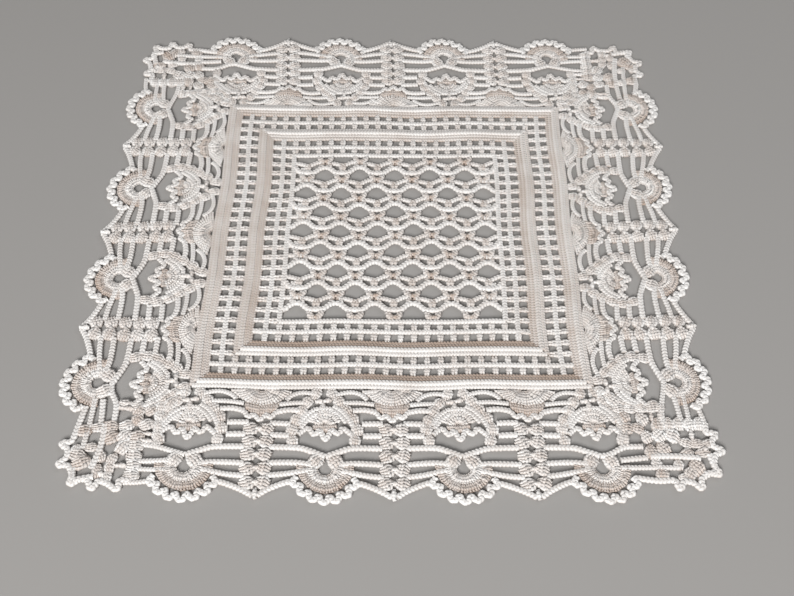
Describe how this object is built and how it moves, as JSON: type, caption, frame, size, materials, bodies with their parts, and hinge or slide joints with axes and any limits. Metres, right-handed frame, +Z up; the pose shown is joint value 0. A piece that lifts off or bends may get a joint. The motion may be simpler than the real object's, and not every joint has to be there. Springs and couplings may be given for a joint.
{
  "type": "lace doily",
  "caption": "Square crocheted lace doily in ivory cotton, lying flat, with an arch net centre, mesh frames, ribbed bands and a border of hearts and shells.",
  "frame": {"origin": "on the table, under the middle of the doily's outline", "axes": "+Z up from the table, +X to the right along the near side, +Y towards the far side"},
  "size_m": [0.4512, 0.4479, 0.0035],
  "materials": {
    "cotton_yarn": "ivory mercerised cotton, twisted, with a soft sheen"
  },
  "bodies": {
    "root": {"doily": "cotton_yarn"}
  },
  "joints": []
}
